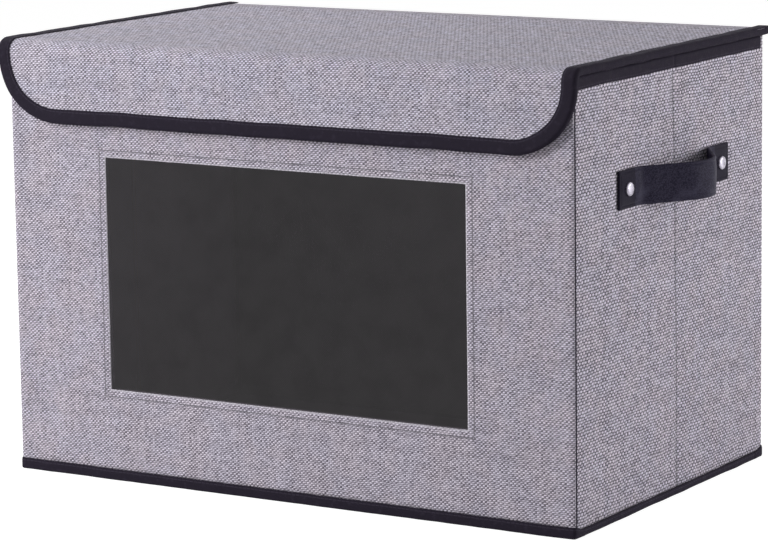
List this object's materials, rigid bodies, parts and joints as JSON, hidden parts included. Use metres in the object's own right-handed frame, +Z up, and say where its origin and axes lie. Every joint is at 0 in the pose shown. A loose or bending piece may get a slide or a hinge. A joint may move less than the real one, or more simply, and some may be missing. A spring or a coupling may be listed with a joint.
{
  "type": "collapsible fabric storage box",
  "caption": "Rectangular lidded storage box of linen-covered boards with a clear front window, a front flap on the lid and strap handles; the side walls fold inwards so that it packs flat.",
  "frame": {"origin": "middle of the underside of the erected box, on the surface that it stands on", "axes": "+X along the long side towards the right handle, +Y from the window to the back, +Z up"},
  "size_m": [0.4482, 0.2574, 0.2758],
  "materials": {
    "linen": "coarse linen-look weave, matt",
    "lining": "pressed non-woven, matt",
    "board": "grey board, uncoated",
    "binding": "woven tape, slight sheen",
    "window": "clear flexible sheet",
    "strap": "smooth coated strap, pressed edge",
    "rivet": "polished",
    "washer": "plain",
    "base_sleeve": "pressed non-woven, matt"
  },
  "bodies": {
    "back_wall": {"back_cover": "linen", "back_board": "board", "back_lining": "lining", "right_rear_corner_tape": "binding", "left_rear_corner_tape": "binding", "bottom_cloth": "lining", "bottom_binding": "binding"},
    "right_rear_half": {"right_rear_cover": "linen", "right_rear_board": "board", "right_rear_lining": "lining", "right_rear_rim_binding": "binding", "right_rear_rivet": "rivet", "right_rear_rivet_washer": "washer", "right_handle_strap": "strap"},
    "right_front_half": {"right_front_cover": "linen", "right_front_board": "board", "right_front_lining": "lining", "right_front_rim_binding": "binding", "right_front_rivet": "rivet", "right_front_rivet_washer": "washer"},
    "front_wall": {"front_cover": "linen", "front_board": "board", "front_lining": "lining", "window_pane": "window", "front_rim_binding": "binding", "right_front_corner_tape": "binding", "left_front_corner_tape": "binding"},
    "left_rear_half": {"left_rear_cover": "linen", "left_rear_board": "board", "left_rear_lining": "lining", "left_rear_rim_binding": "binding", "left_rear_rivet": "rivet", "left_rear_rivet_washer": "washer", "left_handle_strap": "strap"},
    "left_front_half": {"left_front_cover": "linen", "left_front_board": "board", "left_front_lining": "lining", "left_front_rim_binding": "binding", "left_front_rivet": "rivet", "left_front_rivet_washer": "washer"},
    "base": {"base_board": "board", "base_board_sleeve": "base_sleeve"},
    "lid": {"lid_cover": "linen", "lid_board": "board", "lid_lining": "lining", "lid_right_binding": "binding", "lid_left_binding": "binding"},
    "flap": {"flap_cover": "linen", "flap_board": "board", "flap_lining": "lining", "flap_binding": "binding"}
  },
  "joints": [
    {"name": "fold", "type": "hinge", "parent": "back_wall", "child": "right_rear_half", "pos_m": [0.1965, 0.1175, 0.1375], "axis": [0, 0, 1], "range_deg": [-85, 0], "deforming": ["bottom_cloth", "bottom_binding"]},
    {"name": "right_crease", "type": "hinge", "parent": "right_rear_half", "child": "right_front_half", "pos_m": [0.201, 0, 0.1375], "axis": [0, 0, 1], "range_deg": [0, 170], "deforming": ["right_handle_strap"]},
    {"name": "right_front_corner", "type": "hinge", "parent": "right_front_half", "child": "front_wall", "pos_m": [0.1965, -0.1175, 0.1375], "axis": [0, 0, 1], "range_deg": [-85, 0]},
    {"name": "left_rear_corner", "type": "hinge", "parent": "back_wall", "child": "left_rear_half", "pos_m": [-0.1965, 0.1175, 0.1375], "axis": [0, 0, 1], "range_deg": [0, 85]},
    {"name": "left_crease", "type": "hinge", "parent": "left_rear_half", "child": "left_front_half", "pos_m": [-0.201, 0, 0.1375], "axis": [0, 0, 1], "range_deg": [-170, 0], "deforming": ["left_handle_strap"]},
    {"name": "base_board_lift", "type": "hinge", "parent": "back_wall", "child": "base", "pos_m": [0, 0.1182, 0.001], "axis": [1, 0, 0], "range_deg": [-90, 0]},
    {"name": "lid_hinge", "type": "hinge", "parent": "back_wall", "child": "lid", "pos_m": [0, 0.125, 0.275], "axis": [-1, 0, 0], "range_deg": [0, 240]},
    {"name": "flap_hinge", "type": "hinge", "parent": "lid", "child": "flap", "pos_m": [0, -0.1307, 0.267], "axis": [-1, 0, 0], "range_deg": [0, 120]}
  ],
  "couplings": [
    {"joint": "right_crease", "follows": "fold", "ratio": -2},
    {"joint": "right_front_corner", "follows": "fold", "ratio": 1},
    {"joint": "left_rear_corner", "follows": "fold", "ratio": -1},
    {"joint": "left_crease", "follows": "fold", "ratio": 2}
  ]
}
